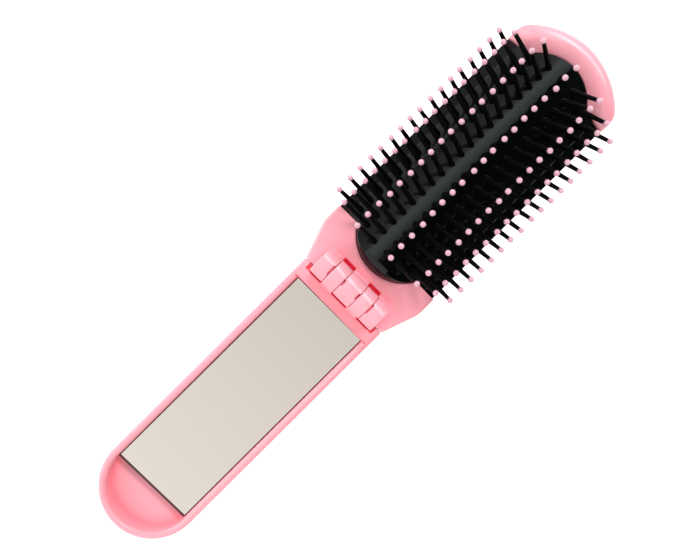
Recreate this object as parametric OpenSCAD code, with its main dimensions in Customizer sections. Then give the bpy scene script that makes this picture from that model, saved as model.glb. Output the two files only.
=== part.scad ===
// Pocket hairbrush that folds in half on a five-knuckle hinge.
// X runs across the brush, +Y from the handle to the tip of the head, and +Z
// from the back it lies on to the bristles. All lengths are in millimetres.

/* [Overall] */
// Length of the handle, from the hinge axis to its round end
handle_len = 92.6; // [86:0.2:98]
// Length of the head, from the hinge axis to its tip
head_len = 93.2; // [91:0.2:96]
// Height of the face that the handle and the shoulder of the head share
face_z = 9; // [8.4:0.1:10]
// Rounding of the lower edges of the handle and the head
back_r = 3; // [1.5:0.1:3.6]

/* [Handle] */
// Width of the handle
handle_w = 29.8; // [29:0.2:30.8]
// Width of the round-topped rim
rim_w = 2.2; // [1.8:0.1:2.6]
// Thickness of the floor under the mirror
tray_floor = 4.1; // [3.6:0.1:4.6]
// Length of the solid land between the mirror and the parting line
land_len = 5.2; // [4.5:0.1:8]

/* [Mirror] */
// Length of the glass
mirror_len = 70.6; // [60:0.2:70.6]
// Thickness of the glass
mirror_t = 1.8; // [1:0.1:2]
// Gap between the edge of the glass and the walls of the tray
mirror_gap = 0.15; // [0.1:0.05:0.4]
// Thickness of the adhesive tape behind the glass
tape_t = 0.5; // [0.3:0.1:0.8]
// Distance from the edge of the glass to the edge of the tape
tape_inset = 1.2; // [0.5:0.1:4]

/* [Hinge] */
// Height of the hinge axis above the shared face
axis_rise = 5.8; // [5.6:0.1:6.4]
// Radius of the knuckles
barrel_r = 4.05; // [3.6:0.05:4.2]
// Width of the two outer knuckles, which belong to the head
outer_knuckle_w = 4.4; // [3.5:0.1:5]
// Width of the two spaces for the knuckles of the handle
handle_knuckle_w = 4.2; // [3.5:0.1:4.6]
// Width of the middle knuckle, which belongs to the head
mid_knuckle_w = 5.6; // [4:0.1:5.8]
// Side gap between neighbouring knuckles
knuckle_gap = 0.12; // [0.1:0.01:0.3]
// Distance from the hinge axis back to the parting line
parting_y = 2.6; // [2.2:0.1:3]
// Gap between handle and head at the parting line
parting_gap = 0.2; // [0.2:0.05:0.4]
// Gap between a knuckle of the head and the end wall of its slot in the handle
slot_gap = 0.6; // [0.5:0.05:1]
// Gap between a knuckle of the handle and the end wall of its slot in the head
window_gap = 1.15; // [0.5:0.05:1.4]
// Height of the foot of a knuckle
lug_foot_z = 4.5; // [4.2:0.1:5.4]
// Depth of a slot below the foot of its knuckle
slot_drop = 1.1; // [1:0.1:1.6]
// Radius of the concave root between a knuckle and the face it stands on
knuckle_root_r = 0.9; // [0.5:0.1:1.2]
// Width of the notch in the handle beside each outer knuckle
notch_w = 1.5; // [1:0.1:2]
// Depth of that notch below the shared face
notch_depth = 2; // [1:0.1:3]
// Radius of the steel hinge pin
hinge_pin_r = 1; // [0.8:0.05:1.3]
// Running clearance of the handle knuckles on the pin, on the radius
running_gap = 0.06; // [0.03:0.01:0.1]
// Wall left at the closed end of the pin bore
bore_end_wall = 1.9; // [1:0.1:3]
// How far the pin stops short of the open end of its bore
pin_set_back = 0.2; // [0:0.1:0.6]
// Width of the relief slits on the crest of the knuckles
slit_w = 0.45; // [0.2:0.05:0.6]
// Depth of the relief slits
slit_depth = 1.2; // [0.6:0.1:1.8]
// Length of the slits beside the outer knuckles
outer_slit_len = 3; // [1:0.1:4]
// Length of the slits beside the middle knuckle
mid_slit_len = 1.8; // [1:0.1:4]

/* [Head] */
// Width of the head
head_w = 37.4; // [36.8:0.2:38.4]
// Slant of the sides of the shoulder, in degrees
shoulder_angle = 19; // [18:0.5:21]
// Radius of the round corner between the slanting side and the flank
shoulder_r = 14; // [10:1:16]
// Thickness of the floor of the shell
shell_floor = 2; // [1.4:0.1:3]
// Height of the rail that the pad sits on
rail_z = 4; // [3.6:0.1:4.6]
// Width of the rail that the pad sits on
rail_w = 2.2; // [1.5:0.1:3]

/* [End cap] */
// Height of the lip round the tip of the head
lip_z = 14.2; // [13:0.1:15]
// Rounding of the lip towards the pad
lip_in_r = 2.4; // [2:0.1:3]
// Rounding of the lip towards the tip
lip_out_r = 4.3; // [3.6:0.1:4.8]
// Rounding of the two ends of the lip
lip_end_r = 2.5; // [1:0.1:3.5]
// Radius of the corner between the flank and the round tip, seen from above
tip_corner_r = 5; // [3:0.5:8]

/* [Pad] */
// Height of the crest of the pad
pad_z = 11.6; // [10.6:0.1:12]
// Radius of the arched top of the pad
pad_arch_r = 25.9; // [24.5:0.1:28]
// Thickness of the arched wall
pad_wall = 2.6; // [2.2:0.1:3]
// Gap between the pad and the shell round it
pad_gap = 0.15; // [0.1:0.05:0.3]
// Radius of the round toe of the pad, towards the hinge
toe_r = 13.4; // [13:0.1:14]
// Distance from the hinge axis to the tip of the toe
toe_tip = 7.75; // [7.4:0.05:8]
// How far the bevel of the toe runs back along the crest
toe_bevel = 2.3; // [1:0.1:3]
// Radius of the round heel of the pad, at the tip of the head
heel_r = 15.5; // [14.8:0.1:16]
// Distance from the hinge axis to the near end of the skirts
skirt_start = 14.4; // [14:0.1:15]
// Distance from the hinge axis to the far end of the skirts
skirt_end = 81.9; // [81.6:0.1:82.3]
// Distance from the centre line to the crease above each skirt
crease_x = 15.2; // [15:0.1:16]
// Depth of the crease
crease_step = 0.27; // [0.1:0.01:0.4]
// Height of the outer edge of the skirts above the rail
skirt_edge_h = 1.2; // [0.8:0.1:1.6]

/* [Pins] */
// Pins in each of the three middle rows
long_row_pins = 19; // [6:1:19]
// Distance between neighbouring pins of a row
pin_pitch = 3.75; // [3.2:0.05:3.75]
// Distance from the hinge axis to the first pin of the middle rows
first_pin = 14; // [13.8:0.1:14.4]
// Turn round the arch from one row to the next, in degrees
row_step_angle = 10.4; // [10:0.1:10.6]
// Lean of the rows beside the middle row, in degrees
inner_lean_angle = 36; // [15:1:38]
// Lean of the next rows out, in degrees
middle_lean_angle = 50; // [38:1:51]
// Lean of the outermost rows, in degrees
outer_lean_angle = 52; // [50:1:60]
// Length of a pin, from the pad to the centre of its ball
pin_len = 10.2; // [7:0.1:10.2]
// Radius of the foot of a pin
pin_foot_r = 1.15; // [0.8:0.05:1.2]
// Radius of a pin above its foot
pin_low_r = 0.62; // [0.5:0.02:0.75]
// Radius of a pin at its ball
pin_top_r = 0.5; // [0.4:0.02:0.6]
// Height of the tapered foot of a pin
pin_foot_h = 1.5; // [0.8:0.1:2]
// Radius of the ball on each pin
ball_r = 0.83; // [0.75:0.01:0.95]
// Width of the runner that joins the pins of a row
runner_w = 2.9; // [2.6:0.1:3]
// Thickness of the runner
runner_t = 1.5; // [1.2:0.1:1.6]

/* [Hidden] */
$fn = 96;

pink = [0.98, 0.66, 0.71];
black = [0.12, 0.12, 0.13];
tip_pink = [0.96, 0.75, 0.79];
// Overlap of shapes that join, how far a tool stands past what it cuts, and a
// length greater than the brush
eps = 0.01;
past = 1;
far = 200;

// Places along the brush, from the hinge axis
hinge_y = (handle_len - head_len) / 2;
axis_z = face_z + axis_rise;
handle_hw = handle_w / 2;
handle_end_y = handle_len - handle_hw;
tray_start_y = parting_y + land_len;
pocket_hw = handle_hw - rim_w;

// Hinge
knuckle_in_x = mid_knuckle_w / 2;
knuckle_mid_x = knuckle_in_x + handle_knuckle_w;
knuckle_out_x = knuckle_mid_x + outer_knuckle_w;
slot_wall_y = barrel_r + slot_gap;
window_wall_y = barrel_r + window_gap;
notch_z = face_z - notch_depth;
slot_floor_z = lug_foot_z - slot_drop;
crest_z = axis_z + barrel_r;
// Overlap that lets one curve cross another instead of only touching it
ease = 0.02;

// Head
head_hw = head_w / 2;
toe_y = toe_tip + toe_r;
cap_r = heel_r + lip_in_r + lip_out_r;
cap_y = head_len - cap_r;
// Centre of the round corner of the shoulder, and where it meets the slanting side
shoulder_x = head_hw - shoulder_r + ease;
shoulder_y = (shoulder_x + (shoulder_r - ease) / cos(shoulder_angle) - handle_hw)
    / tan(shoulder_angle) - parting_y;
shoulder_join_x = shoulder_x + shoulder_r * cos(shoulder_angle);
shoulder_join_y = shoulder_y - shoulder_r * sin(shoulder_angle);
// Centre of the round corner beside the tip, and where it meets the round end
corner_x = head_hw - tip_corner_r + ease;
corner_y = cap_y + sqrt(pow(cap_r - tip_corner_r + ease, 2) - pow(corner_x, 2));
corner_join_x = corner_x * cap_r / (cap_r - tip_corner_r + ease);
lip_r = heel_r + lip_in_r;

// Pad
arch_z = pad_z - pad_arch_r;
pad_hw = head_hw - pad_gap;
groove_side_gap = 0.05;
runner_sink = 0.05;
crease_z = arch_z + sqrt(pad_arch_r * pad_arch_r - crease_x * crease_x);
skirt_z = rail_z + skirt_edge_h;
row_end_margin = 1.8;

// Pins
socket_gap = 0.02;
ball_overlap = 0.3;
foot_land = 0.1;
root_depth = 0.8;
root_r = 0.7;

function row_x(k) = pad_arch_r * sin(k * row_step_angle);
function row_z(k) = arch_z + pad_arch_r * cos(k * row_step_angle);
function row_lean(k) = sign(k) * [0, inner_lean_angle, middle_lean_angle, outer_lean_angle][abs(k)];
function row_skip(k) = max(0, abs(k) - 1);
function row_pins(k) = long_row_pins - row_skip(k);
function row_first(k) = first_pin + row_skip(k) * pin_pitch / 2;
function row_last(k) = row_first(k) + (row_pins(k) - 1) * pin_pitch;

// Everything is drawn from the hinge axis and then centred on the brush
module placed() translate([0, hinge_y, 0]) children();

// Section of a bar that lies flat: x across, y up
module bar_section(half_w, top_z, top_r) {
    translate([-(half_w - back_r), 0]) square([2 * (half_w - back_r), back_r + eps]);
    translate([-half_w, back_r]) square([2 * half_w, top_z - top_r - back_r]);
    translate([-(half_w - top_r), back_r]) square([2 * (half_w - top_r), top_z - back_r]);
    for (side = [-1, 1]) {
        translate([side * (half_w - back_r), back_r]) circle(r = back_r);
        translate([side * (half_w - top_r), top_z - top_r]) circle(r = top_r);
    }
}

// Keeps the half of a section that may be turned round the vertical axis
module right_half() intersection() {
    children();
    translate([0, -far / 2]) square([far, far]);
}

// Runs a section from one distance along the brush to another
module along_y(from, to) {
    translate([0, to, 0]) rotate([90, 0, 0]) linear_extrude(to - from) children();
}

// ---- Hinge ----

// One knuckle: a round head on a straight-sided foot
module knuckle(from, to) {
    translate([from, 0, 0]) rotate([90, 0, 90]) linear_extrude(to - from) {
        translate([0, axis_z]) circle(r = barrel_r);
        translate([-barrel_r, lug_foot_z]) square([2 * barrel_r, axis_z - lug_foot_z]);
    }
}

// Concave root between a knuckle and the face in front (1) or behind it (-1)
module knuckle_root(from, to, side) {
    reach = barrel_r + knuckle_root_r - ease;
    translate([from, 0, face_z]) rotate([90, 0, 90]) linear_extrude(to - from) difference() {
        translate([side > 0 ? barrel_r - eps : -reach, -eps])
            square([knuckle_root_r - ease + eps, knuckle_root_r - ease + eps]);
        translate([side * reach, knuckle_root_r - ease]) circle(r = knuckle_root_r);
    }
}

module bore(radius, from, to) {
    translate([from, 0, axis_z]) rotate([0, 90, 0]) cylinder(r = radius, h = to - from);
}

// Open space that a knuckle of the other piece turns in
module slot(from, to, wall_y, floor_z = slot_floor_z) {
    translate([from, min(0, wall_y), floor_z]) cube([to - from, abs(wall_y), far]);
}

// Relief slit on the crest, cut into one side of a knuckle
module slit(from, to, length) {
    translate([from, -length / 2, crest_z - slit_depth]) cube([to - from, length, far]);
}

// ---- Handle ----

module tray_section() {
    intersection() {
        bar_section(handle_hw, face_z, rim_w / 2);
        translate([-handle_hw, 0]) square([handle_w, tray_floor]);
    }
    for (side = [-1, 1]) translate([side * (handle_hw - rim_w / 2), 0]) {
        translate([-rim_w / 2, back_r]) square([rim_w, face_z - rim_w / 2 - back_r]);
        translate([0, face_z - rim_w / 2]) circle(r = rim_w / 2);
    }
}

module handle_body() {
    along_y(-tray_start_y, -parting_y) bar_section(handle_hw, face_z, rim_w / 2);
    along_y(-handle_end_y, -tray_start_y) tray_section();
    translate([0, -handle_end_y, 0]) rotate([0, 0, 180]) rotate_extrude(angle = 180)
        right_half() tray_section();
}

module handle_tray() color(pink) placed() difference() {
    union() {
        difference() {
            handle_body();
            slot(-knuckle_in_x - knuckle_gap, knuckle_in_x + knuckle_gap, -slot_wall_y);
            for (side = [0, 1]) mirror([side, 0, 0]) {
                slot(knuckle_mid_x - knuckle_gap, knuckle_out_x + knuckle_gap, -slot_wall_y);
                slot(knuckle_out_x, knuckle_out_x + notch_w, -slot_wall_y, notch_z);
            }
        }
        for (side = [0, 1]) mirror([side, 0, 0]) {
            knuckle(knuckle_in_x + knuckle_gap, knuckle_mid_x - knuckle_gap);
            knuckle_root(knuckle_in_x + knuckle_gap, knuckle_mid_x - knuckle_gap, -1);
        }
    }
    bore(hinge_pin_r + running_gap, -knuckle_mid_x, knuckle_mid_x);
}

module mirror_glass() color([0.85, 0.82, 0.78]) placed()
    translate([0, -tray_start_y - mirror_gap - mirror_len / 2,
               tray_floor + tape_t + mirror_t / 2])
        cube([2 * (pocket_hw - mirror_gap), mirror_len, mirror_t], center = true);

module mirror_tape() color("white") placed()
    translate([0, -tray_start_y - mirror_gap - mirror_len / 2, tray_floor + tape_t / 2])
        cube([2 * (pocket_hw - mirror_gap - tape_inset), mirror_len - 2 * tape_inset, tape_t],
             center = true);

// ---- Head ----

// Bar whose rounded edge is one slanting side of the shoulder
module shoulder_side(side) {
    translate([side * handle_hw, -parting_y, 0]) rotate([0, 0, -side * shoulder_angle])
        translate([-side * far, 0, 0]) along_y(-far, far) bar_section(far, face_z, rim_w / 2);
}

module shoulder() intersection() {
    shoulder_side(-1);
    shoulder_side(1);
    along_y(parting_gap - parting_y, skirt_start) bar_section(head_hw, face_z, rim_w / 2);
}

module low_section() intersection() {
    bar_section(head_hw, face_z, rim_w / 2);
    translate([-head_hw, 0]) square([head_w, rail_z]);
}

// Section of the end cap: a low floor inside a lip that is round on both sides
module cap_section() {
    right_half() intersection() {
        bar_section(cap_r, 2 * face_z, rim_w / 2);
        square([cap_r, rail_z]);
    }
    translate([heel_r, rail_z - eps])
        square([lip_in_r, lip_z - lip_in_r - rail_z + eps]);
    translate([lip_r - eps, back_r])
        square([lip_out_r + eps, lip_z - lip_out_r - back_r]);
    intersection() {
        translate([lip_r, lip_z - lip_in_r]) circle(r = lip_in_r);
        translate([heel_r, lip_z - lip_in_r - eps]) square([lip_in_r, lip_in_r + 2 * eps]);
    }
    intersection() {
        translate([lip_r, lip_z - lip_out_r]) circle(r = lip_out_r);
        translate([lip_r - eps, lip_z - lip_out_r - eps])
            square([lip_out_r + 2 * eps, lip_out_r + 2 * eps]);
    }
}

// Side view of the cap, round where the lip ends above the skirts
module cap_side() {
    translate([skirt_end, 0]) square([head_len, lip_z - lip_end_r]);
    translate([skirt_end + lip_end_r, 0]) square([head_len, lip_z + past]);
    translate([skirt_end + lip_end_r, lip_z - lip_end_r + ease]) circle(r = lip_end_r);
}

module end_cap() intersection() {
    translate([0, cap_y, 0]) rotate_extrude() cap_section();
    along_y(skirt_end, head_len + past) bar_section(head_hw, 2 * lip_z, rim_w / 2);
    translate([-head_w, 0, 0]) rotate([90, 0, 90]) linear_extrude(2 * head_w) cap_side();
}

// What the round corners between slanting sides and flanks take away
module shoulder_waste() for (side = [0, 1]) mirror([side, 0, 0])
    linear_extrude(far) difference() {
        translate([shoulder_join_x, shoulder_join_y])
            square([far, shoulder_y - shoulder_join_y]);
        translate([shoulder_x, shoulder_y]) circle(r = shoulder_r);
    }

// What the round corners between flanks and tip take away
module tip_waste() for (side = [0, 1]) mirror([side, 0, 0])
    linear_extrude(far) difference() {
        translate([corner_join_x, corner_y]) square(tip_corner_r);
        translate([corner_x, corner_y]) circle(r = tip_corner_r);
    }

// Outline of the pad seen from above, drawn in by an inset
module pad_plan(inset) {
    translate([-(head_hw - inset), skirt_start + inset])
        square([2 * (head_hw - inset), skirt_end - skirt_start - 2 * inset]);
    translate([0, toe_y]) circle(r = toe_r - inset);
    translate([0, cap_y]) circle(r = heel_r - inset);
}

module head_body() {
    shoulder();
    along_y(skirt_start - eps, skirt_end + eps) low_section();
    end_cap();
}

module head_shell() color(pink) placed() difference() {
    union() {
        difference() {
            head_body();
            translate([0, toe_y, rail_z]) cylinder(r = toe_r, h = far);
            translate([0, 0, shell_floor]) linear_extrude(far) pad_plan(rail_w);
            shoulder_waste();
            tip_waste();
            for (side = [0, 1]) mirror([side, 0, 0]) {
                slot(knuckle_in_x, knuckle_mid_x, window_wall_y);
                translate([0, -parting_y, 0]) slot(knuckle_in_x, knuckle_mid_x, parting_y);
            }
        }
        knuckle(-knuckle_in_x, knuckle_in_x);
        knuckle_root(-knuckle_in_x, knuckle_in_x, 1);
        for (side = [0, 1]) mirror([side, 0, 0]) {
            knuckle(knuckle_mid_x, knuckle_out_x);
            knuckle_root(knuckle_mid_x, knuckle_out_x, 1);
        }
    }
    bore(hinge_pin_r, -knuckle_out_x - past, knuckle_out_x - bore_end_wall);
    for (side = [0, 1]) mirror([side, 0, 0]) {
        slit(knuckle_mid_x - eps, knuckle_mid_x + slit_w, outer_slit_len);
        slit(knuckle_in_x - slit_w, knuckle_in_x + eps, mid_slit_len);
    }
}

module hinge_pin() color("silver") placed()
    bore(hinge_pin_r, -knuckle_out_x + pin_set_back, knuckle_out_x - bore_end_wall);

// ---- Pad ----

// Arched top on a low base that carries the skirts
module pad_form() union() {
    along_y(0, head_len) intersection() {
        translate([0, arch_z]) circle(r = pad_arch_r);
        translate([-crease_x, rail_z]) square([2 * crease_x, pad_z]);
    }
    along_y(0, head_len)
        polygon([[-pad_hw, rail_z], [-pad_hw, skirt_z], [-crease_x, crease_z - crease_step],
                 [crease_x, crease_z - crease_step], [pad_hw, skirt_z], [pad_hw, rail_z]]);
}

// What the bevel of the toe takes away above the shared face
module toe_bevel_waste() intersection() {
    translate([0, toe_y, face_z]) difference() {
        cylinder(r = toe_r + past, h = pad_z);
        cylinder(r1 = toe_r - pad_gap, r2 = toe_r - pad_gap - toe_bevel, h = pad_z - face_z);
        translate([0, 0, pad_z - face_z - eps])
            cylinder(r = toe_r - pad_gap - toe_bevel, h = pad_z);
    }
    translate([-far / 2, toe_y - far, 0]) cube([far, far, far]);
}

// Bar that follows a row on the surface of the pad, sunk by its own thickness
module row_bar(k, width, depth, sink) {
    length = row_last(k) - row_first(k) + 2 * row_end_margin;
    translate([row_x(k), row_first(k) - row_end_margin, row_z(k)]) rotate([0, k * row_step_angle, 0])
        translate([-width / 2, 0, -depth]) cube([width, length, depth - sink]);
}

module bristle_pad() color(black) placed() difference() {
    intersection() {
        translate([0, 0, rail_z]) linear_extrude(pad_z) pad_plan(pad_gap);
        pad_form();
    }
    intersection() {
        linear_extrude(far) pad_plan(rail_w);
        translate([0, head_len, arch_z]) rotate([90, 0, 0])
            cylinder(r = pad_arch_r - pad_wall, h = head_len);
    }
    toe_bevel_waste();
    for (k = [-3:3]) row_bar(k, runner_w + 2 * groove_side_gap, runner_t, -past);
}

// ---- Pins ----

// Carries its children to each root of a row and leans them as the pins lean
module at_roots(k) {
    for (i = [0:row_pins(k) - 1])
        translate([row_x(k), row_first(k) + i * pin_pitch, row_z(k)])
            rotate([0, row_lean(k), 0]) children();
}

module pin() rotate_extrude($fn = 24)
    polygon([[0, -root_depth], [root_r, -root_depth], [pin_foot_r, -foot_land],
             [pin_foot_r, foot_land], [pin_low_r, pin_foot_h],
             [pin_top_r, pin_len - ball_r], [pin_top_r, pin_len - ball_overlap],
             [0, pin_len - ball_overlap]]);

module ball() difference() {
    translate([0, 0, pin_len]) sphere(r = ball_r, $fn = 32);
    translate([0, 0, pin_len - ball_r - eps])
        cylinder(r = pin_top_r + socket_gap, h = ball_r - ball_overlap + eps, $fn = 24);
}

module pin_row(k) color(black) placed() {
    row_bar(k, runner_w, runner_t, runner_sink);
    at_roots(k) pin();
}

module tip_row(k) color(tip_pink) placed() at_roots(k) ball();

module pin_row_1() pin_row(-3);
module pin_row_2() pin_row(-2);
module pin_row_3() pin_row(-1);
module pin_row_4() pin_row(0);
module pin_row_5() pin_row(1);
module pin_row_6() pin_row(2);
module pin_row_7() pin_row(3);
module tip_row_1() tip_row(-3);
module tip_row_2() tip_row(-2);
module tip_row_3() tip_row(-1);
module tip_row_4() tip_row(0);
module tip_row_5() tip_row(1);
module tip_row_6() tip_row(2);
module tip_row_7() tip_row(3);

head_shell();
bristle_pad();
pin_row_1();
pin_row_2();
pin_row_3();
pin_row_4();
pin_row_5();
pin_row_6();
pin_row_7();
tip_row_1();
tip_row_2();
tip_row_3();
tip_row_4();
tip_row_5();
tip_row_6();
tip_row_7();
handle_tray();
mirror_glass();
mirror_tape();
hinge_pin();
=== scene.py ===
"""Looks of a pocket hairbrush whose mirror handle folds over its bristle head.

Run in Blender 4.5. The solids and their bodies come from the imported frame; this add-on gives
them moulded edges, materials, a floor, lamps and a camera. All sizes are in metres.
"""

import math
import random

import bmesh
import bpy
from bpy.props import FloatProperty, FloatVectorProperty, IntProperty, PointerProperty
from mathutils import Matrix, Vector


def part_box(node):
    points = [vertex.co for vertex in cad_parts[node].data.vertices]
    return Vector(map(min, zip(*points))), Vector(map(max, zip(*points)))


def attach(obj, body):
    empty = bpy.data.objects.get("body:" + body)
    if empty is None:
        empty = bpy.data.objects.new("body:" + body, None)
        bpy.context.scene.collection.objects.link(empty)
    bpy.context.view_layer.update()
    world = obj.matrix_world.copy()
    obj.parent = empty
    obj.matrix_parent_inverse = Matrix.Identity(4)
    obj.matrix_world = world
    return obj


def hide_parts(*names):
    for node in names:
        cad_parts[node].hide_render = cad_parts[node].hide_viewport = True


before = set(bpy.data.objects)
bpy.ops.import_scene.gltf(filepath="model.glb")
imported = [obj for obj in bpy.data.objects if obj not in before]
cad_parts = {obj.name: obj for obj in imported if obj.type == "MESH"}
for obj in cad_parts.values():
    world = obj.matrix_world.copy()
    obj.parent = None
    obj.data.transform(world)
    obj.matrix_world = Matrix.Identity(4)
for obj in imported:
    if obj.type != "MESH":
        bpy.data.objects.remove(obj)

bl_info = {
    "name": "Folding Hairbrush",
    "version": (1, 0, 0),
    "blender": (4, 5, 0),
    "location": "3D View > Sidebar > Hairbrush",
    "description": "Finishes a folding pocket hairbrush around its packed solids",
    "category": "Add Mesh",
}

MM = 0.001
# Vertices nearer to each other than this are one
DOUBLES = 0.001 * MM
ROWS = range(1, 8)
MIDDLE_ROW = 4
WHITE = (1, 1, 1, 1)


# ---- Colours and shader helpers ----


def linear(hex_code):
    """Linear colour of an sRGB hex code such as "F5B0BA"."""
    channels = [int(hex_code[i:i + 2], 16) / 255 for i in (0, 2, 4)]
    return tuple(c / 12.92 if c <= 0.04045 else ((c + 0.055) / 1.055) ** 2.4 for c in channels)


def add_node(tree, kind, settings=None, **inputs):
    """Adds a node, sets its properties and sets or links its inputs, which are named, or
    numbered as in _6 where several share a name."""
    node = tree.nodes.new(kind)
    for name, value in (settings or {}).items():
        setattr(node, name, value)
    for name, value in inputs.items():
        number = name[1:]
        socket = node.inputs[int(number) if number.isdigit() else name.replace("_", " ")]
        if isinstance(value, bpy.types.NodeSocket):
            tree.links.new(value, socket)
        else:
            socket.default_value = value
    return node


def rgba(colour):
    """The colour with full opacity."""
    return (*colour, 1.0)


def spaced(millimetres):
    """Scale of a pattern whose marks lie so many millimetres apart."""
    return 1 / (millimetres * MM)


def new_material(name):
    """A material, its tree and its Object coordinates."""
    material = bpy.data.materials.new(name)
    material.use_nodes = True
    tree = material.node_tree
    tree.nodes.clear()
    place = add_node(tree, "ShaderNodeTexCoord").outputs["Object"]
    return material, tree, place


def grained(name, colour, grain, smooth, rough, detail=2.0, **finish):
    """A material of one colour whose roughness wanders between two values, with a grain of
    so many millimetres."""
    material, tree, place = new_material(name)
    noise = add_node(tree, "ShaderNodeTexNoise", Vector=place, Scale=spaced(grain),
                     Detail=detail)
    roughness = add_node(tree, "ShaderNodeMapRange", Value=noise.outputs["Fac"],
                         To_Min=smooth, To_Max=rough)
    shader = add_node(tree, "ShaderNodeBsdfPrincipled", Base_Color=rgba(colour),
                      Roughness=roughness.outputs["Result"], **finish)
    add_node(tree, "ShaderNodeOutputMaterial", Surface=shader.outputs[0])
    return material


# ---- Materials ----


def gloss_abs(colours):
    """ABS, injection moulded in a polished mould: even colour, a clear gloss and the faint
    unevenness of a shrinking wall, 6 mm from crest to crest. In narrow slots and hollows
    it is painted crimson and given a painted crimson glow, both standing in for the light
    that seeps through the thin walls."""
    slot, glow = 4 * MM, 0.42
    material, tree, place = new_material("moulded_pink_abs")
    tint = add_node(tree, "ShaderNodeTexNoise", Vector=place, Scale=spaced(16.667), Detail=2.0)
    colour = add_node(tree, "ShaderNodeMix", {"data_type": "RGBA"}, Factor=tint.outputs["Fac"],
                      _6=rgba(colours.shell), _7=rgba(colours.shell_deep))
    peel = add_node(tree, "ShaderNodeTexNoise", Vector=place, Scale=spaced(6.25), Detail=1.0)
    bump = add_node(tree, "ShaderNodeBump", Strength=0.02, Distance=0.05 * MM,
                    Height=peel.outputs["Fac"])
    # Painted shade and glow: ambient occlusion finds the slots and hollows, where the colour is
    # painted crimson and a painted glow is given off, standing in for light that seeps through the
    # walls
    open_sky = add_node(tree, "ShaderNodeAmbientOcclusion", {"samples": 6, "only_local": True},
                        Distance=slot)
    shade = add_node(tree, "ShaderNodeMapRange", Value=open_sky.outputs["AO"],
                     From_Min=0.1, From_Max=0.95, To_Min=1.0, To_Max=0.0)
    painted_crevice_tint = add_node(tree, "ShaderNodeMath", {"operation": "MULTIPLY"},
                    _0=shade.outputs["Result"], _1=shade.outputs["Result"])
    # Strength of the painted glow, which makes the slots glow though no lamp lights them
    painted_seep_glow = add_node(tree, "ShaderNodeMath", {"operation": "MULTIPLY"},
                    _0=shade.outputs["Result"], _1=glow)
    # Painted crevice colour: crimson mixed into the base colour where the slots are deepest
    colour = add_node(tree, "ShaderNodeMix", {"data_type": "RGBA"}, Factor=painted_crevice_tint.outputs[0],
                      _6=colour.outputs[2], _7=rgba(colours.painted_seep_glow))
    shader = add_node(tree, "ShaderNodeBsdfPrincipled", Base_Color=colour.outputs[2],
                      Roughness=0.28, IOR=1.53, Normal=bump.outputs["Normal"],
                      Emission_Color=rgba(colours.painted_seep_glow), Emission_Strength=painted_seep_glow.outputs[0])
    add_node(tree, "ShaderNodeOutputMaterial", Surface=shader.outputs[0])
    return material


def pad_rubber(colours):
    """Hard black rubber, moulded smooth: a near-black with a clean sheen."""
    return grained("moulded_black_pad", colours.pad, grain=1.111, smooth=0.07, rough=0.12,
                   IOR=1.5)


def pin_nylon(colours):
    """Black nylon, moulded: satin, with only faint highlights."""
    return grained("moulded_black_nylon", colours.pins, grain=0.667, smooth=0.3,
                   rough=0.42, IOR=1.53, Specular_IOR_Level=0.07)


def tip_resin(colours):
    """Pale pink resin, dipped: glossy beads with clouds of 1.4 mm."""
    material, tree, place = new_material("dipped_pink_resin")
    cloud = add_node(tree, "ShaderNodeTexNoise", Vector=place, Scale=spaced(1.429), Detail=1.0)
    colour = add_node(tree, "ShaderNodeMix", {"data_type": "RGBA"}, Factor=cloud.outputs["Fac"],
                      _6=rgba(colours.tips), _7=rgba(colours.tips_deep))
    shader = add_node(tree, "ShaderNodeBsdfPrincipled", Base_Color=colour.outputs[2],
                      Roughness=0.25, IOR=1.5)
    add_node(tree, "ShaderNodeOutputMaterial", Surface=shader.outputs[0])
    return material


def silvered_glass(colours):
    """Float glass with a silvered back: a clean, slightly warm reflection, faintly hazy."""
    return grained("silvered_float_glass", colours.mirror, grain=8.333, smooth=0.02,
                   rough=0.05, detail=3.0, Metallic=1.0)


def cut_edge(colours):
    """Cut edge of the mirror, ground and painted against damp: matt dark brown."""
    return grained("ground_mirror_edge", colours.cut_edge, grain=0.4, smooth=0.35, rough=0.5,
                   IOR=1.52)


def foam_tape(colours):
    """White foam tape: matt, with cells of a third of a millimetre."""
    material, tree, place = new_material("white_foam_tape")
    cells = add_node(tree, "ShaderNodeTexVoronoi", Vector=place, Scale=spaced(0.3333))
    bump = add_node(tree, "ShaderNodeBump", Strength=0.3, Distance=0.05 * MM,
                    Height=cells.outputs["Distance"])
    shader = add_node(tree, "ShaderNodeBsdfPrincipled", Base_Color=rgba(colours.tape),
                      Roughness=0.9, Normal=bump.outputs["Normal"])
    add_node(tree, "ShaderNodeOutputMaterial", Surface=shader.outputs[0])
    return material


def drawn_steel(colours):
    """Drawn steel wire: fine lines along its length, 0.05 mm apart."""
    material, tree, place = new_material("drawn_steel_wire")
    stretched = add_node(tree, "ShaderNodeMapping", Vector=place,
                         Scale=(spaced(2.5), spaced(0.05), spaced(0.05)))
    lines = add_node(tree, "ShaderNodeTexNoise", Vector=stretched.outputs[0], Scale=1.0)
    rough = add_node(tree, "ShaderNodeMapRange", Value=lines.outputs["Fac"],
                     To_Min=0.25, To_Max=0.45)
    shader = add_node(tree, "ShaderNodeBsdfPrincipled", Base_Color=rgba(colours.steel),
                      Metallic=1.0, Roughness=rough.outputs["Result"])
    add_node(tree, "ShaderNodeOutputMaterial", Surface=shader.outputs[0])
    return material


# ---- Mesh helpers ----


def mesh_of(bm, name):
    """Turns a finished bmesh into a mesh."""
    mesh = bpy.data.meshes.new(name)
    bm.to_mesh(mesh)
    bm.free()
    return mesh


def smooth_piece(bm, name):
    """Turns a finished bmesh into a smooth object at the origin."""
    for face in bm.faces:
        face.smooth = True
    piece = bpy.data.objects.new(name, mesh_of(bm, name))
    bpy.context.scene.collection.objects.link(piece)
    return piece


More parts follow.
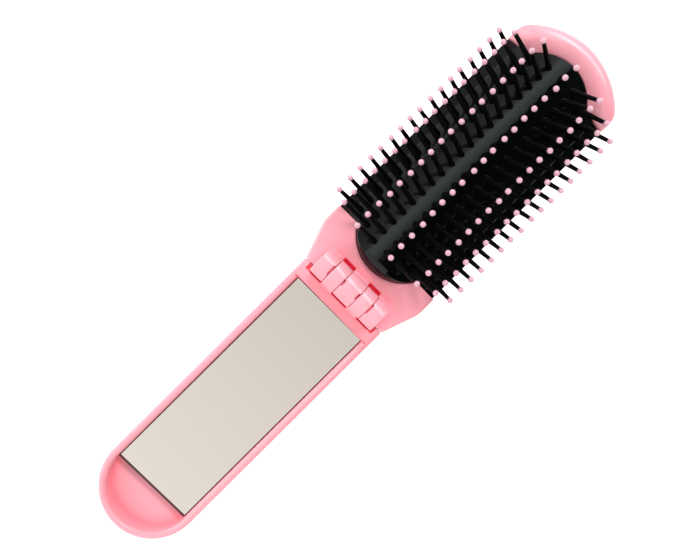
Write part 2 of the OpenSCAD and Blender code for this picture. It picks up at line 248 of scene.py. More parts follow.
def merged_copy(node, name, cut=None):
    """A copy of a CAD node's mesh with its doubles merged and its flat faces joined, open
    beyond a cut across the brush where one is given."""
    bm = bmesh.new()
    bm.from_mesh(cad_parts[node].data)
    bmesh.ops.remove_doubles(bm, verts=bm.verts, dist=2 * DOUBLES)
    if cut is not None:
        bmesh.ops.bisect_plane(bm, geom=bm.verts[:] + bm.edges[:] + bm.faces[:], dist=DOUBLES,
                               plane_co=(0, cut, 0), plane_no=(0, 1, 0), clear_outer=True)
    bmesh.ops.dissolve_limit(bm, angle_limit=math.radians(0.5), verts=bm.verts, edges=bm.edges)
    return smooth_piece(bm, name)


def new_piece(bm, name):
    """An object of a finished bmesh, with its doubles merged and its faces outwards."""
    bmesh.ops.remove_doubles(bm, verts=bm.verts, dist=DOUBLES)
    bmesh.ops.recalc_face_normals(bm, faces=bm.faces)
    return smooth_piece(bm, name)


def draped_grid(lines):
    """A grid laid through lines that have equally many points, its doubles merged."""
    bm = bmesh.new()
    bmesh.ops.create_grid(bm, x_segments=len(lines[0]) - 1, y_segments=len(lines) - 1, size=1)
    places = (place for line in lines for place in line)
    for vert, place in zip(bm.verts, places):
        vert.co = place
    bmesh.ops.remove_doubles(bm, verts=bm.verts, dist=DOUBLES)
    return bm


def lathed(profile, steps):
    """Mesh of a profile of (radius, height) points turned once round the vertical axis."""
    bm = bmesh.new()
    points = [bm.verts.new((radius, 0, height)) for radius, height in profile]
    edges = [bm.edges.new(pair) for pair in zip(points, points[1:])]
    bmesh.ops.spin(bm, geom=points + edges, cent=(0, 0, 0), axis=(0, 0, 1),
                   angle=2 * math.pi, steps=steps, use_merge=True)
    bmesh.ops.remove_doubles(bm, verts=bm.verts, dist=DOUBLES)
    return mesh_of(bm, "lathed")


def round_edges(piece, radius, segments):
    """Rounds the edges that a mould would round, those that turn by more than 32 degrees."""
    bevel = piece.modifiers.new("moulded edges", "BEVEL")
    bevel.limit_method = "ANGLE"
    bevel.angle_limit = math.radians(32)
    bevel.width = radius
    bevel.segments = segments
    bevel.profile = 0.5
    bevel.harden_normals = True
    bevel.use_clamp_overlap = False


def finish_piece(piece, material, body, node):
    """Gives a piece its material and body, and hides the CAD node that it stands for."""
    piece.data.materials.clear()
    piece.data.materials.append(material)
    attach(piece, body)
    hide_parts(node)


def finish_node(node, material):
    """Gives a CAD node its material."""
    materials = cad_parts[node].data.materials
    materials.clear()
    materials.append(material)


# ---- Settings ----


def colour_property(name, description, hex_code):
    """A colour whose default is an sRGB hex code."""
    return FloatVectorProperty(name=name, description=description, subtype="COLOR", size=3,
                               min=0, max=1, default=linear(hex_code))


class HairbrushColours(bpy.types.PropertyGroup):
    """Colours of the brush's finishes"""

    shell: colour_property("Shell", "Pink of the moulded shells", "F8A3AE")
    shell_deep: colour_property("Deep shell", "Pink where the wall is thicker", "F69FAB")
    # Painted glow: the crimson painted into slots and hollows and given off there, standing in for
    # light that seeps through the shells
    painted_seep_glow: colour_property("Seep", "Crimson of light that seeps through the shells", "E0103C")
    pad: colour_property("Pad", "Black of the bristle pad", "030505")
    pins: colour_property("Pins", "Black of the nylon pins", "030404")
    tips: colour_property("Tips", "Pink of the dipped tips", "DDB1BD")
    tips_deep: colour_property("Deep tips", "Pink in the cloudy parts of the tips", "CD95A6")
    mirror: colour_property("Mirror", "Tint of the silvered glass", "ECE3D8")
    cut_edge: colour_property("Cut edge", "Brown of the mirror's ground edge", "4A1C22")
    tape: colour_property("Tape", "White of the foam tape", "E8E6E1")
    steel: colour_property("Steel", "Grey of the hinge pin", "B9B9BB")
    floor: colour_property("Floor", "White of the floor", "F4F4F4")


class HairbrushEdges(bpy.types.PropertyGroup):
    """Moulded edges"""

    shell_edge: FloatProperty(name="Shell edge", description="Rounding of the shells' edges",
                              default=0.25 * MM, min=0.05 * MM, max=0.5 * MM, unit="LENGTH")
    edge_steps: IntProperty(name="Edge steps", description="Faces across a rounded edge",
                            default=3, min=1, max=6)


class HairbrushPad(bpy.types.PropertyGroup):
    """Arched pad, measured from the hinge axis"""

    crest: FloatProperty(name="Crest", description="Height of the crest of the pad",
                         default=11.6 * MM, unit="LENGTH")
    arch_radius: FloatProperty(name="Arch radius", description="Radius of the arched top",
                               default=25.9 * MM, unit="LENGTH")
    foot: FloatProperty(name="Foot", description="Height of the underside",
                        default=4 * MM, unit="LENGTH")
    face: FloatProperty(name="Face", description="Height of the shell's face round the toe",
                        default=9 * MM, unit="LENGTH")
    half_width: FloatProperty(name="Half width", description="Half the width over the skirts",
                              default=18.55 * MM, unit="LENGTH")
    skirt_edge: FloatProperty(name="Skirt edge", description="Height of the outer edge of a skirt",
                              default=5.2 * MM, unit="LENGTH")
    crease: FloatProperty(name="Crease", description="Distance from the middle to the crease",
                          default=15.2 * MM, unit="LENGTH")
    crease_step: FloatProperty(name="Crease step", description="Depth of the crease",
                               default=0.27 * MM, unit="LENGTH")
    skirt_start: FloatProperty(name="Skirt start", description="Near end of the skirts",
                               default=14.55 * MM, unit="LENGTH")
    skirt_end: FloatProperty(name="Skirt end", description="Far end of the skirts",
                             default=81.75 * MM, unit="LENGTH")
    toe_centre: FloatProperty(name="Toe centre", description="Centre of the round toe",
                              default=21.15 * MM, unit="LENGTH")
    toe_radius: FloatProperty(name="Toe radius", description="Radius of the round toe",
                              default=13.25 * MM, unit="LENGTH")
    toe_bevel: FloatProperty(name="Toe bevel", description="Reach of the round edge of the toe",
                             default=2.3 * MM, unit="LENGTH")
    toe_steps: IntProperty(name="Toe steps", description="Faces across that round edge",
                           default=8)
    heel_centre: FloatProperty(name="Heel centre", description="Centre of the round heel",
                               default=71.0 * MM, unit="LENGTH")
    heel_radius: FloatProperty(name="Heel radius", description="Radius of the round heel",
                               default=15.35 * MM, unit="LENGTH")
    edge: FloatProperty(name="Edge", description="Rounding of the pad's edges",
                        default=0.1 * MM, unit="LENGTH")
    columns: IntProperty(name="Columns", description="Faces across half the pad", default=24)
    rows: IntProperty(name="Rows", description="Faces along the pad", default=60)


class HairbrushCap(bpy.types.PropertyGroup):
    """Raised end cap, measured from the hinge axis"""

    start: FloatProperty(name="Start", description="Where the cap meets the skirts",
                         default=81.9 * MM, unit="LENGTH")
    tip: FloatProperty(name="Tip", description="Distance to the tip of the head",
                       default=93.18 * MM, unit="LENGTH")
    round_radius: FloatProperty(name="Round radius", description="Radius of the round tip",
                                default=27.3 * MM, unit="LENGTH")
    half_width: FloatProperty(name="Half width", description="Half the width of the head",
                              default=18.75 * MM, unit="LENGTH")
    corner: FloatProperty(name="Corner", description="Sharpness of the corners of the outline",
                          default=32, min=8, max=200)
    lip: FloatProperty(name="Lip", description="Height of the lip at the tip",
                       default=14.2 * MM, unit="LENGTH")
    arch: FloatProperty(name="Arch", description="Radius of the arch that lowers the lip's ends",
                        default=32 * MM, unit="LENGTH")
    shoulder: FloatProperty(name="Shoulder", description="Height where the wall turns in",
                            default=10.6 * MM, unit="LENGTH")
    crest: FloatProperty(name="Crest", description="Place of the crest across the lip",
                         default=0.55, min=0.3, max=0.8)
    crest_round: FloatProperty(name="Crest round", description="Reach of the round crest",
                               default=1.3 * MM, unit="LENGTH")
    back: FloatProperty(name="Back", description="Rounding of the lower edge",
                        default=3 * MM, unit="LENGTH")
    rail: FloatProperty(name="Rail", description="Height of the rail under the pad",
                        default=4 * MM, unit="LENGTH")
    rail_width: FloatProperty(name="Rail width", description="Width of that rail",
                              default=2.2 * MM, unit="LENGTH")
    floor: FloatProperty(name="Floor", description="Thickness of the floor",
                         default=2 * MM, unit="LENGTH")
    end_round: FloatProperty(name="End round", description="Rounding of the ends of the lip",
                             default=3.8 * MM, unit="LENGTH")
    pad_gap: FloatProperty(name="Pad gap", description="Gap between the lip and the pad",
                           default=0.15 * MM, unit="LENGTH")
    proud: FloatProperty(name="Proud", description="How far the lip's foot stands over the pad",
                         default=0.1 * MM, unit="LENGTH")
    seam: FloatProperty(name="Seam", description="Gap between the cap and the head's moulding",
                        default=0.02 * MM, unit="LENGTH")
    sweep: FloatProperty(name="Sweep", description="Angle that the lip runs round the tip",
                         default=math.radians(108), subtype="ANGLE")
    turns: IntProperty(name="Turns", description="Faces along the lip", default=110)
    steps: IntProperty(name="Steps", description="Faces across a rounding", default=12)


class HairbrushPins(bpy.types.PropertyGroup):
    """Pins and their tips, measured from the hinge axis"""

    first: FloatProperty(name="First pin", description="First pin of the middle rows",
                         default=14 * MM, unit="LENGTH")
    pitch: FloatProperty(name="Pitch", description="Distance between the pins of a row",
                         default=3.75 * MM, unit="LENGTH")
    long_row: IntProperty(name="Long row", description="Pins in each middle row", default=19)
    row_step: FloatProperty(name="Row step", description="Turn round the arch between rows",
                            default=math.radians(10.4), subtype="ANGLE")
    leans: FloatVectorProperty(name="Leans", description="Lean of the rows, from the middle out",
                               default=[math.radians(lean) for lean in (0, 36, 50, 52)],
                               size=4, subtype="EULER")
    length: FloatProperty(name="Length", description="From the pad to the middle of the ball",
                          default=10.2 * MM, unit="LENGTH")
    ball: FloatProperty(name="Ball", description="Radius of the dipped ball",
                        default=0.81 * MM, unit="LENGTH")
    bulb: FloatProperty(name="Bulb", description="Radius of the round foot of a pin",
                        default=0.93 * MM, unit="LENGTH")
    shaft: FloatProperty(name="Shaft", description="Radius of a pin above its foot",
                         default=0.76 * MM, unit="LENGTH")
    top: FloatProperty(name="Top", description="Radius of a pin below its ball",
                       default=0.56 * MM, unit="LENGTH")
    spread: FloatProperty(name="Spread", description="Uneven lean from pin to pin",
                          default=math.radians(0.8), subtype="ANGLE")
    bent: FloatVectorProperty(name="Bent", description="Lean that use has given each row",
                              default=[math.radians(lean) for lean in
                                       (1.3, -8.5, 0, 1, 0, -3.5, -3)],
                              size=7, subtype="EULER")
    pushed: FloatVectorProperty(name="Pushed", description="Sideways lean of each row's first "
                                                           "pin, which fades along the row",
                                default=[math.radians(lean) for lean in
                                         (0, 0, 0, 7, 4.5, 0, 0)],
                                size=7, subtype="EULER")
    pushed_fade: IntProperty(name="Pushed fade", default=6,
                             description="Pins over which that lean fades")
    back: FloatProperty(name="Back", description="Lean of the first pins towards the hinge, "
                                                 "which fades along the row",
                        default=math.radians(4), subtype="ANGLE")
    back_fade: IntProperty(name="Back fade", default=3,
                           description="Pins over which that lean fades")
    steps: IntProperty(name="Steps", description="Faces round a pin", default=16)


class HairbrushMirror(bpy.types.PropertyGroup):
    """Mirror glass"""

    ground_edge: FloatProperty(name="Ground edge", description="Width of the ground edge",
                               default=0.2 * MM, unit="LENGTH")
    far_edge: FloatProperty(name="Far edge", description="Extra width of the far ground edge",
                            default=0.6 * MM, unit="LENGTH")
    reach: FloatProperty(name="Reach", description="How far it runs past the packed glass",
                         default=0.55 * MM, unit="LENGTH")
    skew: FloatProperty(name="Skew", description="How far the far edge is out of square",
                        default=0.5 * MM, unit="LENGTH")


class HairbrushCamera(bpy.types.PropertyGroup):
    """Place of the camera over the open brush"""

    place: FloatVectorProperty(name="Place", description="Where the camera stands",
                               subtype="XYZ", unit="LENGTH", size=3,
                               default=(-4.37 * MM, 0.8 * MM, 184.2 * MM))
    aim: FloatVectorProperty(name="Aim", description="Point in the middle of the picture",
                             subtype="XYZ", unit="LENGTH", size=3,
                             default=(-1.77 * MM, 1.45 * MM, 9 * MM))
    turn: FloatProperty(name="Turn", description="Angle of the brush in the picture",
                        subtype="ANGLE", default=math.radians(45.2))
    focal: FloatProperty(name="Focal length", description="Focal length on a 36 mm sensor",
                         default=32.48, min=10, max=200)


# ---- Operators ----


class HAIRBRUSH_OT_stage(bpy.types.Operator):
    """Lay the floor, hang the lamps and place the camera"""

    bl_idname = "hairbrush.stage"
    bl_label = "Stage"

    def execute(self, context):
        scene = context.scene
        lay_floor(scene.hairbrush_colours)
        hang_lamps(scene)
        paint_room(scene)
        place_camera(scene, scene.hairbrush_camera)
        scene.view_settings.view_transform = "Standard"
        return {"FINISHED"}


class HAIRBRUSH_OT_shells(bpy.types.Operator):
    """Finish the head shell and the handle tray"""

    bl_idname = "hairbrush.shells"
    bl_label = "Shells"

    def execute(self, context):
        scene = context.scene
        edges, cap = scene.hairbrush_edges, scene.hairbrush_cap
        abs_plastic = gloss_abs(scene.hairbrush_colours)
        cap_cut = hinge_y() + cap.start - cap.seam
        for node, body, cut in (("head_shell", "head", cap_cut),
                                ("handle_tray", "handle", None)):
            piece = merged_copy(node, node + "_moulding", cut)
            round_edges(piece, edges.shell_edge, edges.edge_steps)
            finish_piece(piece, abs_plastic, body, node)
        piece = model_cap(cap, scene.hairbrush_pad)
        finish_piece(piece, abs_plastic, "head", "head_shell")
        return {"FINISHED"}


class HAIRBRUSH_OT_pad(bpy.types.Operator):
    """Model the arched pad"""

    bl_idname = "hairbrush.pad"
    bl_label = "Pad"

    def execute(self, context):
        scene = context.scene
        piece = model_pad(scene.hairbrush_pad)
        round_edges(piece, scene.hairbrush_pad.edge, segments=2)
        finish_piece(piece, pad_rubber(scene.hairbrush_colours), "head",
                     "bristle_pad")
        return {"FINISHED"}


class HAIRBRUSH_OT_pins(bpy.types.Operator):
    """Model the seven rows of pins with their tips"""

    bl_idname = "hairbrush.pins"
    bl_label = "Pins and tips"

    def execute(self, context):
        scene = context.scene
        settings = scene.hairbrush_pins
        nylon = pin_nylon(scene.hairbrush_colours)
        resin = tip_resin(scene.hairbrush_colours)
        pin = lathed(pin_profile(settings), settings.steps)
        ball = lathed(ball_profile(settings), settings.steps)
        for row in ROWS:
            places = pin_places(settings, scene.hairbrush_pad, row)
            for mesh, material, slot, kind in ((pin, nylon, "black_pins", "pin"),
                                               (ball, resin, "pink_tips", "tip")):
                bm = bmesh.new()
                for place in places:
                    known = len(bm.verts)
                    bm.from_mesh(mesh)
                    bm.verts.ensure_lookup_table()
                    bmesh.ops.transform(bm, matrix=place, verts=bm.verts[known:])
                piece = new_piece(bm, f"{kind}s_{row}")
                finish_piece(piece, material, "head", f"{kind}_row_{row}")
        return {"FINISHED"}


class HAIRBRUSH_OT_mirror(bpy.types.Operator):
    """Model the mirror glass and finish its tape and the hinge pin"""

    bl_idname = "hairbrush.mirror"
    bl_label = "Mirror"

    def execute(self, context):
        colours = context.scene.hairbrush_colours
        piece = model_mirror(context.scene.hairbrush_mirror)
        finish_piece(piece, silvered_glass(colours), "handle", "mirror_glass")
        piece.data.materials.append(cut_edge(colours))
        flat = 0.99
        for face in piece.data.polygons:
            face.material_index = int(face.normal.z < flat)
        finish_node("mirror_tape", foam_tape(colours))
        finish_node("hinge_pin", drawn_steel(colours))
        return {"FINISHED"}


def hinge_y():
    """Where the hinge axis lies along the brush: the middle of the hinge pin."""
    low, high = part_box("hinge_pin")
    return (low[1] + high[1]) / 2


def model_pad(pad):
    """The pad as a grid whose rows follow the toe, its round edge and the heel."""
    arch_middle = pad.crest - pad.arch_radius
    inner = [pad.crease * step / pad.columns for step in range(pad.columns + 1)]
    rise = pad.crest - pad.face

    def column(x, height):
        """Points of one line along the pad, from the toe to the heel."""
        toe = pad.toe_centre - math.sqrt(max(0, pad.toe_radius ** 2 - x * x))
        heel = pad.heel_centre + math.sqrt(max(0, pad.heel_radius ** 2 - x * x))
        start, end = min(pad.skirt_start, toe), max(pad.skirt_end, heel)
        top = min(1, max(0, (height - pad.face) / rise))
        points = []
        round_end = start
        for step in range(pad.toe_steps + 1):
            turn = math.asin(top) * step / pad.toe_steps
            radius = pad.toe_radius - pad.toe_bevel * (1 - math.cos(turn))
            if top and radius > x:
                round_end = max(start, pad.toe_centre - math.sqrt(radius ** 2 - x * x))
            points.append((x, round_end, min(height, pad.face + rise * math.sin(turn))))
        for row in range(1, pad.rows + 1):
            points.append((x, round_end + (end - round_end) * row / pad.rows, height))
        return points

    half = [(x, arch_middle + math.sqrt(pad.arch_radius ** 2 - x * x)) for x in inner]
    crease_z = half[-1][1] - pad.crease_step
    half += [(pad.crease, crease_z), (pad.half_width, pad.skirt_edge)]
    lines = [(-x, z) for x, z in reversed(half[1:])] + half
    base = hinge_y()
    bm = draped_grid([[(math.copysign(px, x), base + py, pz) for px, py, pz in column(abs(x), z)]
                      for x, z in lines])
    rim = [edge for edge in bm.edges if edge.is_boundary]
    wall = bmesh.ops.extrude_edge_only(bm, edges=rim)["geom"]
    for vert in (item for item in wall if isinstance(item, bmesh.types.BMVert)):
        vert.co.z = pad.foot
    bmesh.ops.holes_fill(bm, edges=[edge for edge in bm.edges if edge.is_boundary])
    return new_piece(bm, "arched_pad")


def cubic(ends, steps):
    """Points after the first of a cubic curve through four (distance, height) handles."""
    points = []
    for step in range(1, steps + 1):
        part = step / steps
        rest = 1 - part
        weights = (rest ** 3, 3 * rest * rest * part, 3 * rest * part * part, part ** 3)
        points.append(tuple(sum(weight * end[axis] for weight, end in zip(weights, ends))
                            for axis in (0, 1)))
    return points


def cap_section(cap, reach, depth, top, foot):
    """Section of the cap as (distance in from the outline, height): from the middle of the
    back round the outside, over the lip and down to the middle of the floor."""
    turns = [math.pi / 2 * step / cap.steps for step in range(cap.steps + 1)]
    scale = (top - cap.rail) / (cap.lip - cap.rail)
    shoulder = cap.rail + (cap.shoulder - cap.rail) * scale
    crest = cap.crest * reach
    outer_handle = (0, shoulder + 0.75 * (top - shoulder))
    inner_handle = (reach - 0.2 * (reach - crest), foot + 0.35 * (top - foot))
    points = [(depth, 0)]
    points += [(cap.back * (1 - math.sin(turn)), cap.back * (1 - math.cos(turn)))
               for turn in turns]
    points.append((0, shoulder))
    points += cubic(((0, shoulder), outer_handle, (crest - cap.crest_round, top),
                     (crest, top)), cap.steps)
    points += cubic(((crest, top), (crest + 0.6 * cap.crest_round, top), inner_handle,
                     (reach, foot)), cap.steps)
    points += [(reach, cap.rail), (reach + cap.rail_width, cap.rail),
               (reach + cap.rail_width, cap.floor), (depth, cap.floor)]
    return points


def model_cap(cap, pad):
    """The cap as a section swept round the tip, cut off where it meets the skirts."""
    middle = cap.tip - cap.round_radius
    base = hinge_y()
    wall = pad.heel_radius + cap.pad_gap
    arch_middle = pad.crest - pad.arch_radius
    least_lip = 0.5 * MM
    rings = []
    for turn in range(cap.turns + 1):
        angle = (math.pi - cap.sweep) / 2 + cap.sweep * turn / cap.turns
        away = Vector((math.cos(angle), math.sin(angle)))
        # A round tip and straight sides, joined by the corners of a superellipse
        radius = (cap.round_radius ** -cap.corner
                  + (cap.half_width / abs(away.x or MM)) ** -cap.corner) ** (-1 / cap.corner)
        outer = Vector((0, middle)) + away * radius
        inner = Vector((0, pad.heel_centre)) + away * wall
        inward = (inner - outer).normalized()
        reach = (inner - outer).length
        crest = outer.lerp(inner, cap.crest)
        top = cap.lip - cap.arch + math.sqrt(cap.arch ** 2 - crest.x ** 2)
        near = min(1, max(0, (cap.start + cap.end_round - crest.y) / cap.end_round))
        top -= cap.end_round * (1 - math.sqrt(1 - near * near))
        foot = arch_middle + math.sqrt(pad.arch_radius ** 2 - inner.x ** 2) + cap.proud
        foot = min(foot, top - least_lip)
        section = cap_section(cap, reach, reach + wall, top, foot)
        places = ((outer + inward * depth, height) for depth, height in section)
        rings.append([(place.x, base + place.y, height) for place, height in places])
    bm = draped_grid(rings)
    cut = bmesh.ops.bisect_plane(bm, geom=bm.verts[:] + bm.edges[:] + bm.faces[:],
                                 dist=DOUBLES, plane_co=(0, base + cap.start, 0),
                                 plane_no=(0, 1, 0), clear_inner=True)
    end = [item for item in cut["geom_cut"] if isinstance(item, bmesh.types.BMEdge)]
    bmesh.ops.edgeloop_fill(bm, edges=end)
    piece = new_piece(bm, "swept_cap")
    piece.data.set_sharp_from_angle(angle=math.radians(40))
    return piece


def pin_profile(pins):
    """A pin with a round foot, from its root in the pad to the inside of its ball."""
    bulb, shaft, top = pins.bulb, pins.shaft, pins.top
    root, seat = -0.7 * MM, pins.length - 0.3 * MM
    return [(0, root), (0.8 * bulb, root), (bulb, -0.1 * MM), (bulb, 0.5 * MM),
            (0.97 * bulb, 0.95 * MM), (0.9 * bulb, 1.35 * MM), (1.04 * shaft, 1.8 * MM),
            (shaft, 2.4 * MM), (top, pins.length - pins.ball), (top, seat), (0, seat)]


def ball_profile(pins):
    """A round ball about the pin's end."""
    rings = 12
    return [(pins.ball * math.sin(math.pi * ring / rings),
             pins.length + pins.ball * math.cos(math.pi * ring / rings))
            for ring in range(rings + 1)]


def pin_places(pins, pad, row):
    """Places of a row's pins: each root on the arch, each pin leaning with small unevenness.
    From the second row beside the middle one outwards, each row has one pin less."""
    step = row - MIDDLE_ROW
    side = (step > 0) - (step < 0)
    chance = random.Random(row)
    skipped = max(0, abs(step) - 1)
    angle = step * pins.row_step
    root = Vector((pad.arch_radius * math.sin(angle), 0,
                   pad.crest - pad.arch_radius * (1 - math.cos(angle))))
    places = []
    for number in range(pins.long_row - skipped):
        root.y = hinge_y() + pins.first + (number + skipped / 2) * pins.pitch
        lean = (side * pins.leans[abs(step)] + pins.bent[row - 1]
                + pins.pushed[row - 1] * math.exp(-number / pins.pushed_fade)
                + chance.gauss(0, 1) * pins.spread)
        pitch = (pins.back * math.exp(-number / pins.back_fade)
                 + chance.gauss(0, 1) * pins.spread)
        places.append(Matrix.Translation(root) @ Matrix.Rotation(lean, 4, "Y")
                      @ Matrix.Rotation(pitch, 4, "X"))
    return places


def model_mirror(mirror):
    """The glass as a slab with ground upper edges and a far edge a little out of square."""
    low, high = (Vector(corner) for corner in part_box("mirror_glass"))
    far_end, face = low.y + MM, high.z - 0.1 * mirror.ground_edge
    bm = bmesh.new()
    bmesh.ops.create_cube(bm, size=1)
    for vert in bm.verts:
        vert.co = [(high[i] + low[i]) / 2 + vert.co[i] * (high[i] - low[i]) for i in range(3)]
        if vert.co.y < far_end:
            vert.co.y -= mirror.reach - (mirror.skew if vert.co.x > 0 else 0)
    top = [edge for edge in bm.edges if all(vert.co.z > face for vert in edge.verts)]
    bmesh.ops.bevel(bm, geom=top, offset=mirror.ground_edge, offset_type="OFFSET",
                    affect="EDGES", segments=1, profile=0.5, material=-1)
    for vert in bm.verts:
        if vert.co.z > face and vert.co.y < far_end:
            vert.co.y += mirror.far_edge
    piece = new_piece(bm, "silvered_glass_plate")
    for face in piece.data.polygons:
        face.use_smooth = False
    return piece


def lay_floor(colours):
    """A white sweep that keeps the brush's shadow and shows as white to the camera."""
    half_width, below = 1.5, Matrix.Translation((0, 0, -0.02 * MM))
    bm = bmesh.new()
    bmesh.ops.create_grid(bm, x_segments=1, y_segments=1, size=half_width, matrix=below)
    floor = smooth_piece(bm, "floor")
    material, tree, _ = new_material("white_floor")
    path = add_node(tree, "ShaderNodeLightPath")
    seen = add_node(tree, "ShaderNodeMath", {"operation": "MAXIMUM"},
                    _0=path.outputs["Is Camera Ray"], _1=path.outputs["Is Glossy Ray"])
    seen = add_node(tree, "ShaderNodeMath", {"operation": "MAXIMUM"},
                    _0=seen.outputs[0], _1=path.outputs["Is Transmission Ray"])
    paint = add_node(tree, "ShaderNodeBsdfDiffuse", Color=rgba(colours.floor))
    glow = add_node(tree, "ShaderNodeEmission", Color=WHITE, Strength=0.75)
    lit = add_node(tree, "ShaderNodeAddShader", _0=paint.outputs[0], _1=glow.outputs[0])
    mixed = add_node(tree, "ShaderNodeMixShader", _0=seen.outputs[0], _1=paint.outputs[0],
                     _2=lit.outputs[0])
    add_node(tree, "ShaderNodeOutputMaterial", Surface=mixed.outputs[0])
    floor.data.materials.append(material)


def area_lamp(scene, name, place, aim, width, length, power, colour=(1, 1, 1)):
    """A rectangular soft box whose length lies along the brush."""
    lamp = bpy.data.lights.new(name, "AREA")
    lamp.shape = "RECTANGLE"
    lamp.size = width
    lamp.size_y = length
    lamp.energy = power
    lamp.color = colour
    holder = bpy.data.objects.new(name, lamp)
    scene.collection.objects.link(holder)
    back = (Vector(place) - Vector(aim)).normalized()
    side = Vector((0, 1, 0)).cross(back).normalized()
    holder.matrix_world = facing(place, side, back.cross(side), back)


def facing(place, right, up, back):
    """Matrix of a lamp or camera at a place, from its own three directions."""
    return Matrix.Translation(place) @ Matrix((right, up, back)).transposed().to_4x4()


def hang_lamps(scene):
    """A weak cool lamp overhead, two beyond the head's tip for the gloss, and two beside the
    handle that fill its shadows. The mirror shows none of them to the scene's camera."""
    area_lamp(scene, "overhead softbox", place=(-0.16, 0.36, 1.0), aim=(-0.16, 0.36, 0),
              width=0.34, length=0.68, power=0.42, colour=(0.86, 0.98, 1.0))
    area_lamp(scene, "key softbox", place=(-0.22, 0.6, 0.6), aim=(0, 0.05, 0),
              width=0.5, length=0.26, power=4.2)
    area_lamp(scene, "head softbox", place=(0.22, 0.6, 0.55), aim=(0, 0.08, 0),
              width=0.4, length=0.24, power=2.3)
    area_lamp(scene, "left softbox", place=(-0.9, -0.35, 0.55), aim=(0, 0, 0),
              width=0.6, length=0.9, power=4)
    area_lamp(scene, "low fill", place=(0.7, -0.7, 0.7), aim=(0, 0, 0),
              width=0.8, length=0.8, power=3.2)


def paint_room(scene):
    """The studio round the brush, by the direction it is seen in; white to the camera."""
    world = bpy.data.worlds.new("studio")
    world.use_nodes = True
    tree = world.node_tree
    tree.nodes.clear()
    path = add_node(tree, "ShaderNodeLightPath")
    way = add_node(tree, "ShaderNodeTexCoord").outputs["Generated"]
    way = add_node(tree, "ShaderNodeSeparateXYZ", Vector=way)
    # White ceiling panel over the handle, a shade darker near the hinge
    panel = add_node(tree, "ShaderNodeMapRange", Value=way.outputs["Y"],
                     From_Min=-0.42, From_Max=-0.05, To_Min=0.94, To_Max=0.76)
    across = add_node(tree, "ShaderNodeMath", {"operation": "ABSOLUTE"}, _0=way.outputs["X"])
    beside = add_node(tree, "ShaderNodeMapRange", Value=across.outputs[0],
                      From_Min=0.3, From_Max=0.5, To_Min=0.0, To_Max=0.7)
    panel = add_node(tree, "ShaderNodeMix", Factor=beside.outputs["Result"],
                     _2=panel.outputs["Result"], _3=0.05)
    # Dark room over the bristles, lighter towards its left wall
    dark = add_node(tree, "ShaderNodeMapRange", Value=way.outputs["X"],
                    From_Min=-0.03, From_Max=-0.2, To_Min=0.01, To_Max=0.6)
    left = add_node(tree, "ShaderNodeMapRange", Value=way.outputs["X"],
                    From_Min=-0.85, From_Max=-0.3, To_Min=0.25, To_Max=1.0)
    dark = add_node(tree, "ShaderNodeMath", {"operation": "MULTIPLY"},
                    _0=dark.outputs["Result"], _1=left.outputs["Result"])
    border = add_node(tree, "ShaderNodeMapRange", Value=way.outputs["Y"],
                      From_Min=-0.03, From_Max=0.02)
    upper = add_node(tree, "ShaderNodeMix", Factor=border.outputs["Result"],
                     _2=panel.outputs[0], _3=dark.outputs[0])
    # Bright low walls, dimmer on the right and beyond the bristles
    walls = add_node(tree, "ShaderNodeMapRange", Value=way.outputs["X"],
                     From_Min=0.3, From_Max=0.7, To_Min=1.5, To_Max=0.5)
    beyond = add_node(tree, "ShaderNodeMapRange", Value=way.outputs["X"],
                      From_Min=-0.2, From_Max=0.4, To_Min=0.6, To_Max=0.05)
    walls = add_node(tree, "ShaderNodeMix", Factor=border.outputs["Result"],
                     _2=walls.outputs["Result"], _3=beyond.outputs["Result"])
    low = add_node(tree, "ShaderNodeMapRange", Value=way.outputs["Z"],
                   From_Min=0.55, From_Max=0.7, To_Min=1.0, To_Max=0.0)
    level = add_node(tree, "ShaderNodeMix", Factor=low.outputs["Result"],
                     _2=upper.outputs[0], _3=walls.outputs[0])
    room = add_node(tree, "ShaderNodeBackground", Color=WHITE, Strength=level.outputs[0])
    white = add_node(tree, "ShaderNodeBackground", Color=WHITE, Strength=1.0)
    mixed = add_node(tree, "ShaderNodeMixShader", _0=path.outputs["Is Camera Ray"],
                     _1=room.outputs[0], _2=white.outputs[0])
    add_node(tree, "ShaderNodeOutputWorld", Surface=mixed.outputs[0])
    scene.world = world


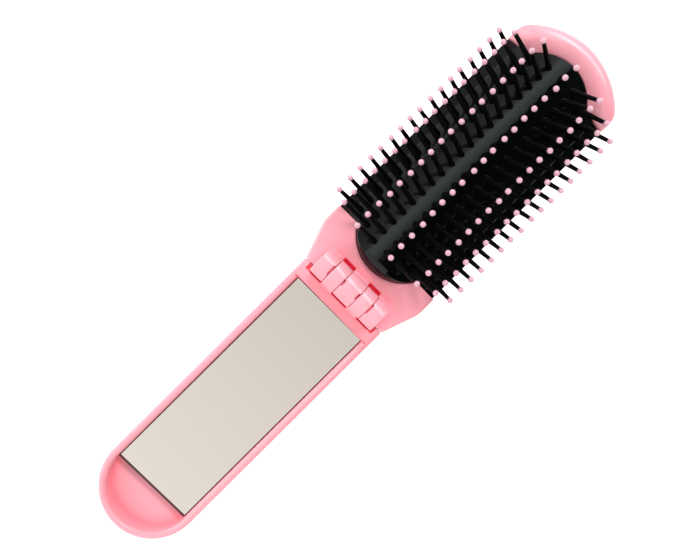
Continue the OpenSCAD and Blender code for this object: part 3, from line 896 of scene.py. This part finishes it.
def place_camera(scene, settings):
    """Stands the camera at its place, turned so that the brush lies across the picture."""
    camera = bpy.data.objects.new("camera", bpy.data.cameras.new("camera"))
    camera.data.sensor_width = 36
    camera.data.lens = settings.focal
    camera.data.clip_start = 0.01
    scene.collection.objects.link(camera)
    place = Vector(settings.place)
    back = (place - Vector(settings.aim)).normalized()
    top = Vector((-math.sin(settings.turn), math.cos(settings.turn), 0))
    right = top.cross(back).normalized()
    camera.matrix_world = facing(place, right, back.cross(right), back)
    scene.camera = camera


class HAIRBRUSH_PT_panel(bpy.types.Panel):
    """Sidebar panel with the brush's pieces and settings"""

    bl_idname = "HAIRBRUSH_PT_panel"
    bl_label = "Folding Hairbrush"
    bl_space_type = "VIEW_3D"
    bl_region_type = "UI"
    bl_category = "Hairbrush"

    def draw(self, context):
        """Draws a button for each operator and a box for each group of settings."""
        scene = context.scene
        for operator in OPERATORS:
            self.layout.operator(operator.bl_idname)
        for title in GROUPS:
            group = getattr(scene, title)
            box = self.layout.box()
            for name in group.__annotations__:
                box.prop(group, name)


OPERATORS = (HAIRBRUSH_OT_stage, HAIRBRUSH_OT_shells, HAIRBRUSH_OT_pad, HAIRBRUSH_OT_pins,
             HAIRBRUSH_OT_mirror)
GROUPS = {
    "hairbrush_colours": HairbrushColours,
    "hairbrush_edges": HairbrushEdges,
    "hairbrush_pad": HairbrushPad,
    "hairbrush_cap": HairbrushCap,
    "hairbrush_pins": HairbrushPins,
    "hairbrush_mirror": HairbrushMirror,
    "hairbrush_camera": HairbrushCamera,
}


def register():
    """Registers the classes and hangs their settings on the scene."""
    for cls in (*GROUPS.values(), *OPERATORS, HAIRBRUSH_PT_panel):
        bpy.utils.register_class(cls)
    for name, cls in GROUPS.items():
        setattr(bpy.types.Scene, name, PointerProperty(type=cls))


def unregister():
    """Takes the settings off the scene and the classes off Blender."""
    for name in GROUPS:
        delattr(bpy.types.Scene, name)
    for cls in reversed((*GROUPS.values(), *OPERATORS, HAIRBRUSH_PT_panel)):
        bpy.utils.unregister_class(cls)


def main():
    """Builds the whole brush."""
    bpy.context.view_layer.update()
    register()
    bpy.ops.hairbrush.stage()
    bpy.ops.hairbrush.shells()
    bpy.ops.hairbrush.pad()
    bpy.ops.hairbrush.pins()
    bpy.ops.hairbrush.mirror()


if __name__ == "__main__":
    main()
